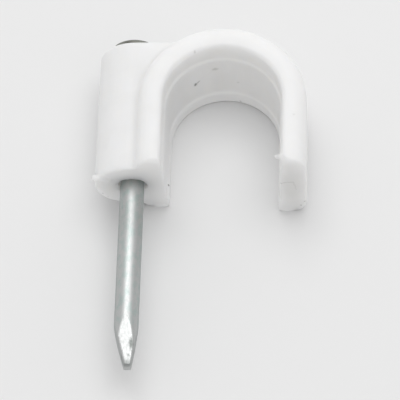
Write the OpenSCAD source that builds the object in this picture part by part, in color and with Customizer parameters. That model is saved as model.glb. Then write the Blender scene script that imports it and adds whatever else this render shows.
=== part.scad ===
// Nail-in cable clip: a white moulded hook that holds a round cable against a wall,
// with a round boss at its side that carries a plated steel nail.
// The clip lies on its flat back. +Z runs along the cable, the nail points along -Y,
// and the origin is on the cable's axis, half way along the hook.

/* [Cable channel] */
// Radius of the channel at the hook's front
channel_r = 4.95; // [4:0.05:7]
// Loss of radius at each of the two steps towards the back
channel_step = 0.2; // [0.05:0.05:0.4]
// Length of the wide zone at the front, with its step
front_zone = 2; // [1.2:0.1:2.5]
// Length of the narrow zone at the back, with its step
back_zone = 1.6; // [1.2:0.1:2.5]
// Length of each step's slant along the cable
step_l = 0.3; // [0.1:0.05:0.5]
// Rounding of the channel's front and back edges
channel_round = 0.35; // [0.1:0.05:0.5]
// Distance from the cable's axis to the boss's foot
foot_drop = 6; // [4:0.1:9]
// Extra length of the free leg beyond the boss's foot
leg_extra = 0.2; // [0:0.05:0.5]

/* [Hook] */
// Width of the hook along the cable
hook_w = 8.2; // [7:0.1:12]
// Wall thickness of the legs, measured at the channel's front
hook_wall = 2; // [1.9:0.05:3]
// Extra wall thickness at the crown
crown_rise = 0.35; // [0:0.05:0.5]
// Rounding of the hook's outer front edge
front_round = 1.4; // [0.4:0.1:1.5]
// Rounding of the hook's outer back edge
back_round = 1.5; // [0.3:0.1:1.6]
// Rounding of the front edge of both legs' ends
end_round = 0.5; // [0.1:0.05:0.8]
// Rounding of the outer edge of the free leg's end
side_round = 0.25; // [0.1:0.05:0.4]

/* [Boss] */
// Radius of the boss round the nail
boss_r = 3.1; // [2.5:0.05:3.5]
// Step from the hook's crown down to the boss's top
boss_drop = 1.05; // [0.8:0.05:2]
// Distance from the hook's outer wall out to the nail's axis
nail_out = 0.5; // [0.2:0.05:1.2]
// Distance of the nail's axis behind the hook's mid plane
nail_back = 0.3; // [0:0.1:0.6]
// Tilt of the boss's foot, which reaches further down at the front
foot_tilt = 3.5; // [0:0.5:5]
// Radius of the fillet between the boss's front and the hook's rounding
valley_r = 0.6; // [0.2:0.05:0.7]
// Radial gap between the nail and its hole
nail_gap = 0.02; // [0.01:0.01:0.05]
// Radial gap at the wider mouth of the hole
mouth_gap = 0.2; // [0.1:0.05:0.5]
// Depth of the wider mouth
mouth_depth = 1.2; // [0.4:0.1:3]

/* [Nail] */
// Diameter of the shank
nail_d = 2; // [1.6:0.1:2.6]
// Length from the head's underside to the tip
nail_len = 29.1; // [20:0.1:40]
// Diameter of the head
head_d = 4; // [3:0.1:4.8]
// Height of the head at its middle
head_h = 1.25; // [1.1:0.05:2.2]
// Height of the head's straight rim
head_rim = 0.95; // [0.2:0.05:1.1]
// Shift of the head off the nail's axis, away from the hook
head_shift = 0.2; // [0:0.05:0.3]
// Length of the front and back facets of the point
face_len = 4.1; // [3:0.1:6]
// Length of the two side facets of the point
side_len = 3.6; // [2.5:0.1:6]
// Turn of the outer side facet towards the front
side_turn = 6; // [0:1:20]
// Width of the blunt tip between the side facets
tip_w = 0.56; // [0.4:0.02:1.2]
// Height of the blunt tip between the front and back facets
tip_h = 1; // [0.4:0.1:1.4]
// Shift of the tip off the nail's axis, towards the hook
tip_shift = 0.22; // [-0.3:0.02:0.3]

/* [Moulding flaws] */
// Reach of the flash lip beyond the boss's wall
lip_reach = 0.5; // [0.2:0.05:0.9]
// Half angle that the lip's root covers inside the boss, three times that of its blunt end
lip_spread = 9; // [6:1:24]
// Place of the lip round the nail, counted from the hook's side
lip_turn = 154; // [120:1:180]
// Thickness of the lip
lip_t = 0.4; // [0.3:0.05:0.8]
// Distance that the lip hangs below the boss's foot
lip_drop = 0.25; // [0.1:0.05:0.4]
// Reach of the burr into the channel near the free leg's end
burr_reach = 0.6; // [0.2:0.05:0.9]
// Height of the burr along the leg
burr_h = 0.8; // [0.4:0.05:1.2]
// Distance from the leg's end up to the burr
burr_lift = 0.35; // [0.1:0.05:0.8]
// Distance of the burr behind the hook's front
burr_sink = 0.4; // [0:0.05:0.6]
// Thickness of the burr along the cable
burr_t = 0.55; // [0.3:0.05:0.8]
// Width of the corner that is broken off below the burr
chip_w = 0.65; // [0.3:0.05:1]
// Length of the broken corner along the leg
chip_l = 1; // [0.4:0.05:1.4]
// Depth of the broken corner along the cable
chip_d = 0.9; // [0.3:0.05:1.4]

/* [Hidden] */
$fn = 96;

// Overshoot that keeps cuts clear of the faces they pass
over = 0.5;
// Depth by which a fillet's circle passes the faces it joins, so that they meet at a clear edge
bite = 0.02;
plastic = "#f3f3f1";
steel = "#8f9997";

front_z = hook_w / 2;
back_z = -hook_w / 2;
hook_r = channel_r + hook_wall;
mid_r = channel_r - channel_step;
back_r = mid_r - channel_step;
free_drop = foot_drop + leg_extra;

nail_r = nail_d / 2;
nail_x = -(hook_r + nail_out);
nail_z = -nail_back;
boss_front = nail_z + boss_r;
boss_top = hook_r + crown_rise - boss_drop;
// The boss starts lower than its foot, which a slanted cut then shapes
foot_room = front_z * tan(foot_tilt);
boss_y = -foot_drop - foot_room;
boss_h = boss_top - boss_y;
tip_y = boss_top - nail_len;

head_r = head_d / 2;
dome_h = head_h - head_rim;
dome_r = (head_r * head_r + dome_h * dome_h) / (2 * dome_h);

// Turns a shape drawn along +Z so that it runs along +Y
module along_y() {
  rotate([-90, 0, 0]) children();
}

// Sweeps a section, drawn as radius and height, over the crown and down both legs
module over_cable(boss_leg, free_leg) {
  rotate_extrude(angle = 180) children();
  rotate([90, 0, 0]) linear_extrude(free_leg) children();
  rotate([90, 0, 0]) linear_extrude(boss_leg) mirror([1, 0]) children();
}

// What a rounding of radius r takes off a corner that points along +X and +Y
module corner_waste(r) {
  difference() {
    translate([-r, -r]) square(r + over);
    translate([-r, -r]) circle(r);
  }
}

// Outer half section of the hook, filled in to the cable's axis
module hook_section() {
  difference() {
    translate([0, back_z]) square([hook_r, hook_w]);
    translate([hook_r, front_z]) corner_waste(front_round);
    translate([hook_r, back_z]) mirror([0, 1]) corner_waste(back_round);
  }
}

// Half section of the cable channel, which narrows in two slanted steps towards the back
module channel_section() {
  polygon([
    [0, back_z - over],
    [back_r, back_z - over],
    [back_r, back_z + back_zone - step_l],
    [mid_r, back_z + back_zone],
    [mid_r, front_z - front_zone],
    [channel_r, front_z - front_zone + step_l],
    [channel_r, front_z + over],
    [0, front_z + over]
  ]);
  translate([channel_r, front_z]) mirror([1, 0]) corner_waste(channel_round);
  translate([back_r, back_z]) mirror([1, 0]) mirror([0, 1]) corner_waste(channel_round);
}

// Bar that rounds the front edge of a leg's end, for a foot at drop that slants by tilt
module end_waste(drop, tilt) {
  mid_z = front_z - end_round + bite;
  mid = [(end_round - bite) / cos(tilt) - mid_z * tan(tilt) - drop, mid_z];
  reach = end_round + over;
  rotate([90, 0, 90]) linear_extrude(hook_wall + 2 * over) difference() {
    polygon([
      mid,
      mid - reach * [cos(tilt), sin(tilt)],
      mid + reach * [-1, 1],
      mid + reach * [0, 1]
    ]);
    translate(mid) circle(end_round);
  }
}

// Bar that rounds the outer edge of the free leg's end
module side_waste() {
  translate([hook_r, -free_drop, back_z - over]) linear_extrude(hook_w + 2 * over)
    mirror([0, 1]) corner_waste(side_round);
}

// Round boss with a block that carries it into the wall of the hook's crown
module boss() {
  block_l = hook_r - channel_r / 3;
  translate([nail_x, boss_y, nail_z]) along_y() {
    cylinder(r = boss_r, h = boss_h);
    translate([0, -boss_r, 0]) cube([block_l, 2 * boss_r, boss_h]);
  }
}

// Half section of the fillet in the valley, tangent to the hook's rounding and to the boss's front
module valley_section() {
  mid_z = boss_front + valley_r - bite;
  start = [hook_r - front_round, min(front_z - front_round, mid_z)];
  gap = sqrt(max(0, pow(front_round + valley_r - bite, 2) - pow(mid_z - start[1], 2)));
  mid = [start[0] + gap, mid_z];
  difference() {
    polygon([start, mid, [mid[0], boss_front - over], [start[0], boss_front - over]]);
    translate(mid) circle(valley_r);
  }
}

// Fillet along the hook's wall, as far as the boss reaches
module valley_fillet() {
  leg = crown_rise - boss_y;
  intersection() {
    translate([0, crown_rise, 0]) over_cable(leg, leg) valley_section();
    translate([nail_x, boss_y, boss_front - over]) cube([-nail_x, boss_h, over + valley_r]);
  }
}

// Slanted cut that shapes the foot on the boss's side
module foot_cut() {
  cut_l = boss_r + lip_reach - nail_x;
  translate([0, -foot_drop, 0]) rotate([foot_tilt, 0, 0])
    translate([-cut_l, -2 * over, -hook_w]) cube([cut_l, 2 * over, 2 * hook_w]);
}

// Nail hole through the boss, wider at the mouth in the foot
module nail_hole() {
  translate([nail_x, boss_y, nail_z]) along_y() {
    translate([0, 0, -over]) cylinder(r = nail_r + nail_gap, h = boss_h + 2 * over);
    translate([0, 0, -over]) cylinder(r = nail_r + mouth_gap, h = mouth_depth + foot_room + over);
  }
}

// Lip of flash that stands out of the boss at its foot, rooted half way into the boss's wall
module foot_lip() {
  root_r = (boss_r + nail_r + mouth_gap) / 2;
  function on_boss(r, turn) = [r * cos(turn), r * sin(turn)];
  translate([nail_x, lip_t - lip_drop - foot_drop, nail_z]) rotate([90, 0, 0]) linear_extrude(lip_t)
    polygon([
      on_boss(root_r, lip_turn - lip_spread),
      on_boss(boss_r + lip_reach, lip_turn - lip_spread / 3),
      on_boss(boss_r + lip_reach, lip_turn + lip_spread / 3),
      on_boss(root_r, lip_turn + lip_spread)
    ]);
}

// Burr that points into the channel at the front of the free leg
module leg_burr() {
  root_x = channel_r + hook_wall / 4;
  translate([0, burr_lift - free_drop, front_z - burr_sink - burr_t]) linear_extrude(burr_t)
    polygon([[root_x, 0], [root_x, burr_h], [channel_r - burr_reach, 0.6 * burr_h]]);
}

// Corner that is broken off the free leg's end, cut by one slanted plane
module leg_chip() {
  reach = 1 + over / chip_w + over / chip_l + over / chip_d;
  translate([channel_r - over, -free_drop - over, front_z + over])
    polyhedron(
      [[0, 0, 0], [reach * chip_w, 0, 0], [0, reach * chip_l, 0], [0, 0, -reach * chip_d]],
      [[0, 1, 2], [0, 2, 3], [0, 3, 1], [1, 3, 2]]
    );
}

// Flat cut for one facet of the point, on a nail that stands on its tip:
// it starts at a distance off the axis and leaves the shank at a height len
module facet_cut(turn, off_axis, len) {
  slant = atan((nail_r - off_axis) / len);
  rotate([0, 0, turn]) translate([off_axis, 0, 0]) rotate([0, slant, 0])
    translate([0, -nail_d, -over]) cube([nail_d, 2 * nail_d, len + nail_d]);
}

// Low domed head, drawn on its seat
module nail_head() {
  rotate_extrude() intersection() {
    square([head_r, head_h]);
    translate([0, head_h - dome_r]) circle(dome_r);
  }
}

module clip_body() {
  color(plastic) {
    difference() {
      union() {
        translate([0, crown_rise, 0])
          over_cable(crown_rise - boss_y, crown_rise + free_drop) hook_section();
        boss();
        valley_fillet();
      }
      over_cable(free_drop + over, free_drop + over) channel_section();
      nail_hole();
      foot_cut();
      translate([channel_r - over, 0, 0]) end_waste(free_drop, 0);
      translate([-hook_r - over, 0, 0]) end_waste(foot_drop, foot_tilt);
      side_waste();
      leg_chip();
    }
    foot_lip();
    leg_burr();
  }
}

module nail() {
  color(steel) translate([nail_x, tip_y, nail_z]) along_y() {
    difference() {
      cylinder(r = nail_r, h = nail_len);
      facet_cut(0, tip_w / 2 + tip_shift, side_len);
      facet_cut(180 + side_turn, tip_w / 2 - tip_shift, side_len);
      for (turn = [90, 270]) facet_cut(turn, tip_h / 2, face_len);
    }
    translate([-head_shift, 0, nail_len]) nail_head();
  }
}

clip_body();
nail();
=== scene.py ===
import math

import bpy
from mathutils import Matrix, Quaternion, Vector


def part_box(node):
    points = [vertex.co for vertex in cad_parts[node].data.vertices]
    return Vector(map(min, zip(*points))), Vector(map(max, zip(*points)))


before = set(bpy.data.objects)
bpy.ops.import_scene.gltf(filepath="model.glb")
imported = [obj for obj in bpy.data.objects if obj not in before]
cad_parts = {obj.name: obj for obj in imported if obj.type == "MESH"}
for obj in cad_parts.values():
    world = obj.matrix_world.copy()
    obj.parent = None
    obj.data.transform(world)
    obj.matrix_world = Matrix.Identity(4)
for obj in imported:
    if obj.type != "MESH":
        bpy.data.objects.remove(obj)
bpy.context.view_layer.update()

MM = 0.001

# Round table top. The clip's soft back edge gives a little on it.
TABLE_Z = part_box("clip_body")[0].z + 0.06 * MM
TABLE_RADIUS = 1.5
TABLE_SIDES = 96

# The camera is fitted to the photo's edges. It looks at the cable's axis where that meets the table.
IMAGE_PX = 400
FOCAL_PX = 3318
TARGET_PX = (226.0, 147.8)
AZIMUTH = math.radians(5.32)
ELEVATION = math.radians(58.51)
ROLL = math.radians(4.69)
DISTANCE = 280 * MM
SENSOR_MM = 36
NEAREST = 0.01
FARTHEST = 10

# Soft light from above and a little behind, in a room that is brighter at its back left
LAMP_PLACE = Vector((40, 100, 400)) * MM
LAMP_SIZE = (450 * MM, 280 * MM)
LAMP_TURN = math.radians(-15)
LAMP_WATTS = 0.78
ROOM_LIGHT = {"front": 0.515, "back": 0.78}
ROOM_BACK = (-0.5, 0.87, 0)
ROOM_COLOUR = (1, 1, 1, 1)

# Base colours, linear
WHITE_PLASTIC = (0.842, 0.84, 0.838, 1)
GREY_PLASTIC = (0.822, 0.82, 0.815, 1)
# Paler colour painted along the channel's steps as a highlight
PAINTED_STEP_HIGHLIGHT = (0.89, 0.89, 0.88, 1)
# Colour of the plastic's dirt, and of the shade painted on the burr and the free leg's end
DIRT_AND_SHADE = (0.12, 0.12, 0.10, 1)
ZINC = (0.56, 0.57, 0.565, 1)
TEAL_ZINC = (0.485, 0.545, 0.53, 1)
DULL_ZINC = (0.31, 0.32, 0.29, 1)
EDGE_TINT = (0.62, 0.64, 0.64, 1)
# Colour of the nail's scuffs, and of the shade painted on its shank near the boss
SCUFF_AND_SHADE = (0.22, 0.24, 0.23, 1)
TARNISH = (0.12, 0.12, 0.105, 1)
PALE_TABLE = (0.83, 0.83, 0.83, 1)

# Fine relief of the surfaces: the width of a grain, and the depth of its bump
MOULD_WAVES = {"width": 2.5 * MM, "depth": 0.03 * MM}
MOULD_GRAIN = {"width": 0.16 * MM, "depth": 0.003 * MM}
DRAWN_STREAKS = {"width": 0.12 * MM, "depth": 0.004 * MM}
ZINC_GRAIN = {"width": 0.12 * MM, "depth": 0.003 * MM}

# Grains without relief: the zinc's mottles, and the table's tooth
MOTTLE_WIDTH = 0.4 * MM
TOOTH_WIDTH = 1.5 * MM

# How much longer the zinc's streaks and mottles are along each axis
STREAK_STRETCH = (1, 18, 1)
MOTTLE_STRETCH = (1, 1.6, 1)

# Roughness of the smoothest and the roughest grains, and what a full mark on the nail adds to it, scuff
# and painted shade alike
PLASTIC_ROUGHNESS = (0.42, 0.52)
ZINC_ROUGHNESS = (0.36, 0.5)
TABLE_ROUGHNESS = (0.65, 0.75)
NAIL_MARK_ROUGHNESS = 0.2

# Light inside the plastic: its share, how far it goes, and how that differs in red, green and blue
GLOW_SHARE = 0.95
GLOW_DEPTH = 3.0 * MM
GLOW_SPREAD = (1.0, 0.97, 0.92)

# Along the nail: where its plain cut point ends, its dull head starts and its rim meets the brighter top
POINT_END = -18.5 * MM
HEAD_SEAT = 6.25 * MM
HEAD_RIM = 7.2 * MM

# How dull the head's top is, as a share of its rim's dullness
TOP_DULLNESS = 0.35

# Slanted steps in the channel: the height of each one's middle, their half width and their outer radius
CHANNEL_STEPS = (2.25 * MM, -2.65 * MM)
STEP_HALF = 0.2 * MM
CHANNEL_REACH = 5.1 * MM

# Places across the cable between which the steps' sheen grows towards the crown
CROWN_SHEEN = (-0.5 * MM, 2 * MM)

# Grid that rounds each node's edges: its width, and the number of times that it is smoothed
ROUNDING = {
    "clip_body": (0.11 * MM, 3),
    "nail": (0.07 * MM, 10),
}

# Points of a node's mesh that are closer than this become one
WELD_GAP = 0.001 * MM

# Uneven edges of the marks: the width of an edge's waves, and how far they reach
PLASTIC_MARK_EDGE = (0.3 * MM, 0.12 * MM)
ZINC_MARK_EDGE = (0.25 * MM, 0.1 * MM)

# Marks on the plastic, as the photo shows them: centre, radii in millimetres, strength
PLASTIC_SPOTS = {
    "smudge under the crown's left": ((-2.5, 4.04, -0.42), (0.24, 0.24, 0.28), 0.75),
    "smudge under the crown's middle": ((-0.82, 4.67, 0.95), (0.4, 0.3, 0.28), 0.25),
    "tick on the channel's front edge": ((-2.37, 4.44, 3.97), (0.12, 0.2, 0.25), 0.2),
    "speck under the crown's right": ((1.04, 4.63, -1.04), (0.14, 0.2, 0.14), 0.15),
    "speck at the channel's back edge": ((1.16, 4.45, -3.67), (0.12, 0.2, 0.14), 0.4),
    "speck on the free leg's front": ((5.94, -1.74, 4.04), (0.16, 0.16, 0.3), 0.1),
    "speck in the channel's left wall": ((-4.62, -4.47, -2.7), (0.2, 0.14, 0.16), 0.9),
    # Painted shade: the next two darken the burr and the free leg's end to stand in for their shade
    "painted shade on the burr": ((4.5, -5.4, 3.4), (0.6, 0.6, 0.6), 0.14),
    "painted shade on the free leg's end": ((5.8, -6.25, 0.0), (1.8, 0.5, 5.5), 0.13),
    "upper speck on the free leg's end": ((6.73, -6.2, -2.43), (0.14, 0.3, 0.18), 0.4),
    "lower speck on the free leg's end": ((6.44, -6.2, -3.05), (0.16, 0.3, 0.16), 0.4),
    "left speck on the boss's foot": ((-9.99, -5.9, -1.56), (0.14, 0.2, 0.16), 0.25),
    "right speck on the boss's foot": ((-9.6, -5.87, -2.11), (0.12, 0.2, 0.14), 0.18),
}

# Fine lines on the plastic: two ends, radius in millimetres, strength
PLASTIC_LINES = {
    "tail of the left smudge": ((-2.5, 4.04, -0.44), (-2.17, 4.22, -0.19), 0.14, 0.5),
    "scratch between the smudges": ((-2.2, 4.2, -0.2), (-0.95, 4.65, 0.75), 0.09, 0.05),
    "fibre on the free leg's end, first run": ((4.8, -6.2, 0.45), (5.36, -6.2, 0.65), 0.2, 0.28),
    "fibre on the free leg's end, second run": ((5.36, -6.2, 0.65), (5.86, -6.2, 0.65), 0.2, 0.27),
    "fibre on the free leg's end, third run": ((5.86, -6.2, 0.65), (6.11, -6.2, -0.48), 0.2, 0.23),
}

# Tarnish on the nail's head, and marks on its shank and point: centre, radii in millimetres, strength
HEAD_SPOTS = {
    "tarnish on the rim": ((-7.85, 6.75, 2.0), (1.3, 0.6, 3.0), 1.0),
}
NAIL_SPOTS = {
    # Painted shade: the next two darken the shank where the boss shades it and dims its reflection
    "painted shade at the boss's mouth": ((-7.45, -5.9, -0.3), (2.0, 1.5, 2.0), 0.45),
    "painted shade on the upper shank": ((-7.45, -9.2, -0.3), (2.0, 3.6, 2.0), 0.22),
    "long scuff on the point's front": ((-6.92, -21.05, 0.44), (0.28, 0.85, 0.3), 0.75),
    "short scuff near the tip": ((-7.13, -22.02, 0.3), (0.16, 0.22, 0.3), 0.45),
    "worn end of the point": ((-7.25, -22.75, 0.15), (0.6, 0.6, 0.5), 0.5),
    "worn left edge of the point": ((-7.75, -22.4, 0.0), (0.22, 0.8, 0.6), 0.8),
}


class Nodes:
    """Adds and links the nodes of one node tree."""

    def __init__(self, tree):
        self.tree = tree

    def add(self, kind, inputs=None, **settings):
        """Adds a node. Inputs are sockets to link or values to set, by name or number."""
        node = self.tree.nodes.new(kind)
        for key, value in settings.items():
            setattr(node, key, value)
        for socket, value in (inputs or {}).items():
            self.put(node, socket, value)
        return node

    def put(self, node, socket, value):
        """Links a socket to a node's input, or sets the input to a plain value."""
        if isinstance(value, bpy.types.NodeSocket):
            self.tree.links.new(value, node.inputs[socket])
        else:
            node.inputs[socket].default_value = value

    def math(self, operation, a, b=0.0):
        return self.add("ShaderNodeMath", {0: a, 1: b}, operation=operation).outputs[0]

    def vector(self, operation, a, b):
        """Vector operation that gives a vector."""
        return self.add("ShaderNodeVectorMath", {0: a, 1: b}, operation=operation).outputs["Vector"]

    def measure(self, operation, a, b=(0, 0, 0)):
        """Vector operation that gives a number."""
        return self.add("ShaderNodeVectorMath", {0: a, 1: b}, operation=operation).outputs["Value"]

    def scale(self, vector, factor):
        ends = {0: vector, "Scale": factor}
        return self.add("ShaderNodeVectorMath", ends, operation="SCALE").outputs["Vector"]

    def fade(self, value, low, high, to_low=0.0, to_high=1.0, shape="SMOOTHSTEP"):
        """Step from to_low at low to to_high at high."""
        ends = {"Value": value, 1: low, 2: high, 3: to_low, 4: to_high}
        return self.add("ShaderNodeMapRange", ends, interpolation_type=shape).outputs[0]


class Look(Nodes):
    """One material whose nodes are laid out in the CAD frame."""

    def __init__(self, name):
        self.material = bpy.data.materials.new(name)
        self.material.use_nodes = True
        super().__init__(self.material.node_tree)
        self.place = self.add("ShaderNodeTexCoord").outputs["Object"]

    def axis(self, name):
        return self.add("ShaderNodeSeparateXYZ", {0: self.place}).outputs[name]

    def noise(self, width, detail=2.0, stretch=(1, 1, 1), output="Fac"):
        """Noise whose grains have about this width in metres, made longer along each axis by stretch."""
        place = self.vector("DIVIDE", self.place, Vector(stretch) * width)
        ends = {"Vector": place, "Scale": 1.0, "Detail": detail}
        return self.add("ShaderNodeTexNoise", ends).outputs[output]

    def ragged_place(self, width, reach):
        """The place, shaken by noise, so that marks get uneven edges."""
        shake = self.vector("SUBTRACT", self.noise(width, output="Color"), (0.5, 0.5, 0.5))
        return self.vector("ADD", self.place, self.scale(shake, 2 * reach))

    def mix(self, factor, a, b):
        """Blend of two colours. The numbers are those of the mix node's colour sockets."""
        return self.add("ShaderNodeMix", {0: factor, 6: a, 7: b}, data_type="RGBA").outputs[2]

    def spots(self, marks, place):
        """Mask of blurred spots."""
        mask = 0.0
        for centre, radii, strength in marks.values():
            offset = self.vector("SUBTRACT", place, Vector(centre) * MM)
            distance = self.measure("LENGTH", self.vector("DIVIDE", offset, Vector(radii) * MM))
            spot = self.fade(distance, 0.2, 1.0, strength, 0.0)
            mask = self.math("MAXIMUM", spot, mask)
        return mask

    def lines(self, marks, place):
        """Mask of fine straight lines."""
        mask = 0.0
        for start, end, radius, strength in marks.values():
            run = (Vector(end) - Vector(start)) * MM
            offset = self.vector("SUBTRACT", place, Vector(start) * MM)
            share = self.measure("DOT_PRODUCT", offset, run / run.length_squared)
            share = self.add("ShaderNodeClamp", {0: share}).outputs[0]
            distance = self.measure("DISTANCE", offset, self.scale(run, share))
            line = self.fade(distance, 0.0, radius * MM, strength, 0.0)
            mask = self.math("MAXIMUM", line, mask)
        return mask

    def bump(self, height, depth, under=None):
        """Normal of a bumpy surface, over another normal if one is given."""
        node = self.add("ShaderNodeBump", {"Height": height, "Distance": depth})
        if under:
            self.put(node, "Normal", under)
        return node.outputs[0]

    def shade(self, inputs):
        """Sets the shader's inputs, and gives back the finished material."""
        for socket, value in inputs.items():
            self.put(self.tree.nodes["Principled BSDF"], socket, value)
        return self.material


def painted_step_highlights(look):
    """Mask of highlights painted along the slanted steps under the crown, a little paler than the
    plastic.
    """
    radius = look.measure("LENGTH", look.vector("MULTIPLY", look.place, (1, 1, 0)))
    inside = look.fade(radius, CHANNEL_REACH, 1.05 * CHANNEL_REACH, 1.0, 0.0)
    under_crown = look.fade(look.axis("Y"), *CROWN_SHEEN)
    along_cable = look.axis("Z")
    mask = 0.0
    for middle in CHANNEL_STEPS:
        off_middle = look.math("ABSOLUTE", look.math("SUBTRACT", along_cable, middle))
        mask = look.math("MAXIMUM", look.fade(off_middle, 0.0, STEP_HALF, 1.0, 0.0), mask)
    return look.math("MULTIPLY", mask, look.math("MULTIPLY", inside, under_crown))


def plastic_look():
    """White moulded plastic: a fine mould grain, slow waves, highlights painted along the steps, specks,
    and shade painted on the burr and the free leg's end.
    """
    look = Look("white_plastic")
    waves = look.noise(MOULD_WAVES["width"], 3.0)
    grain = look.noise(MOULD_GRAIN["width"])
    place = look.ragged_place(*PLASTIC_MARK_EDGE)
    marks = look.math("MAXIMUM", look.spots(PLASTIC_SPOTS, place), look.lines(PLASTIC_LINES, place))
    clean = look.mix(look.fade(waves, 0.35, 0.7), WHITE_PLASTIC, GREY_PLASTIC)
    # Highlights painted along the channel's steps
    clean = look.mix(painted_step_highlights(look), clean, PAINTED_STEP_HIGHLIGHT)
    wavy = look.bump(waves, MOULD_WAVES["depth"])
    return look.shade({
        "Base Color": look.mix(marks, clean, DIRT_AND_SHADE),
        "Roughness": look.fade(grain, 0.3, 0.7, *PLASTIC_ROUGHNESS),
        "Normal": look.bump(grain, MOULD_GRAIN["depth"], wavy),
        "Specular IOR Level": 0.4,
        "Subsurface Weight": GLOW_SHARE,
        "Subsurface Radius": GLOW_SPREAD,
        "Subsurface Scale": GLOW_DEPTH,
    })


def zinc_look():
    """Satin zinc plating: drawn streaks, teal mottles, a dull head with tarnish, a scuffed point and
    shade painted on the shank near the boss.
    """
    look = Look("zinc_plated_steel")
    streaks = look.noise(DRAWN_STREAKS["width"], 3.0, STREAK_STRETCH)
    mottle = look.noise(MOTTLE_WIDTH, 3.0, MOTTLE_STRETCH)
    grain = look.noise(ZINC_GRAIN["width"])
    place = look.ragged_place(*ZINC_MARK_EDGE)
    scuffs_and_shade = look.spots(NAIL_SPOTS, place)
    along = look.axis("Y")
    above_point = look.fade(along, POINT_END - 1.5 * MM, POINT_END)
    teal = look.math("MULTIPLY", look.fade(mottle, 0.42, 0.68), above_point)
    on_head = look.fade(along, HEAD_SEAT, HEAD_SEAT + 0.3 * MM)
    off_top = look.fade(along, HEAD_RIM, HEAD_RIM + 0.1 * MM, 1.0, TOP_DULLNESS)
    plated = look.mix(teal, ZINC, TEAL_ZINC)
    plated = look.mix(look.math("MULTIPLY", on_head, off_top), plated, DULL_ZINC)
    plated = look.mix(look.spots(HEAD_SPOTS, place), plated, TARNISH)
    satin = look.fade(grain, 0.35, 0.65, *ZINC_ROUGHNESS)
    drawn = look.bump(streaks, DRAWN_STREAKS["depth"])
    return look.shade({
        "Base Color": look.mix(scuffs_and_shade, plated, SCUFF_AND_SHADE),
        "Metallic": 1.0,
        "Specular Tint": EDGE_TINT,
        "Roughness": look.math("ADD", satin, look.math("MULTIPLY", scuffs_and_shade, NAIL_MARK_ROUGHNESS)),
        "Normal": look.bump(grain, ZINC_GRAIN["depth"], drawn),
    })


def table_look():
    """Plain pale table with a very faint tooth."""
    look = Look("pale_table")
    tooth = look.noise(TOOTH_WIDTH)
    return look.shade({
        "Base Color": PALE_TABLE,
        "Roughness": look.fade(tooth, 0.3, 0.7, *TABLE_ROUGHNESS),
        "Specular IOR Level": 0.2,
    })


def dress(node, material):
    """Gives a CAD node its material."""
    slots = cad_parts[node].data.materials
    slots.clear()
    slots.append(material)


def round_edges(node, width, steps):
    """Rounds a node's edges as its mould or its wear does: a fine even grid, smoothed a little."""
    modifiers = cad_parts[node].modifiers
    weld = modifiers.new("weld", "WELD")
    weld.merge_threshold = WELD_GAP
    grid = modifiers.new("grid", "REMESH")
    grid.mode = "VOXEL"
    grid.voxel_size = width
    grid.use_smooth_shade = True
    smooth = modifiers.new("smooth", "SMOOTH")
    smooth.factor = 0.5
    smooth.iterations = steps


def add_table():
    """Round table top under the clip's flat back."""
    bpy.ops.mesh.primitive_circle_add(
        vertices=TABLE_SIDES, radius=TABLE_RADIUS, fill_type="NGON", location=(0, 0, TABLE_Z)
    )
    table = bpy.context.object
    table.name = "table"
    table.data.materials.append(table_look())


def add_lamp():
    """Soft lamp above the clip, turned towards it."""
    lamp = bpy.data.lights.new("soft_lamp", "AREA")
    lamp.shape = "RECTANGLE"
    lamp.size, lamp.size_y = LAMP_SIZE
    lamp.energy = LAMP_WATTS
    holder = bpy.data.objects.new("soft_lamp", lamp)
    holder.location = LAMP_PLACE
    turn = (-LAMP_PLACE).to_track_quat("-Z", "Y") @ Quaternion((0, 0, 1), LAMP_TURN)
    holder.rotation_euler = turn.to_euler()
    bpy.context.scene.collection.objects.link(holder)


def add_room():
    """Room whose light fades from its back to its front."""
    room = bpy.data.worlds.new("room")
    room.use_nodes = True
    nodes = Nodes(room.node_tree)
    way = nodes.add("ShaderNodeTexCoord").outputs["Generated"]
    side = nodes.measure("DOT_PRODUCT", way, ROOM_BACK)
    light = nodes.fade(side, -1, 1, ROOM_LIGHT["front"], ROOM_LIGHT["back"], shape="LINEAR")
    background = room.node_tree.nodes["Background"]
    nodes.put(background, "Color", ROOM_COLOUR)
    nodes.put(background, "Strength", light)
    bpy.context.scene.world = room


def add_camera():
    """Camera at the photo's place, turned by its roll, with a shift that puts the target at its pixel."""
    right = Vector((math.cos(AZIMUTH), math.sin(AZIMUTH), 0))
    back = Vector((right.y * math.cos(ELEVATION), -right.x * math.cos(ELEVATION), math.sin(ELEVATION)))
    turn = Matrix((right, back.cross(right), back)).transposed() @ Matrix.Rotation(-ROLL, 3, "Z")
    data = bpy.data.cameras.new("photo_camera")
    data.sensor_width = SENSOR_MM
    data.lens = FOCAL_PX * SENSOR_MM / IMAGE_PX
    data.shift_x = 0.5 - TARGET_PX[0] / IMAGE_PX
    data.shift_y = TARGET_PX[1] / IMAGE_PX - 0.5
    data.clip_start = NEAREST
    data.clip_end = FARTHEST
    camera = bpy.data.objects.new("photo_camera", data)
    place = Vector((0, 0, TABLE_Z)) + back * DISTANCE
    camera.matrix_world = Matrix.Translation(place) @ turn.to_4x4()
    bpy.context.scene.collection.objects.link(camera)
    bpy.context.scene.camera = camera


dress("clip_body", plastic_look())
dress("nail", zinc_look())
for node, (width, steps) in ROUNDING.items():
    round_edges(node, width, steps)
add_table()
add_lamp()
add_room()
add_camera()
bpy.context.scene.view_settings.view_transform = "Standard"
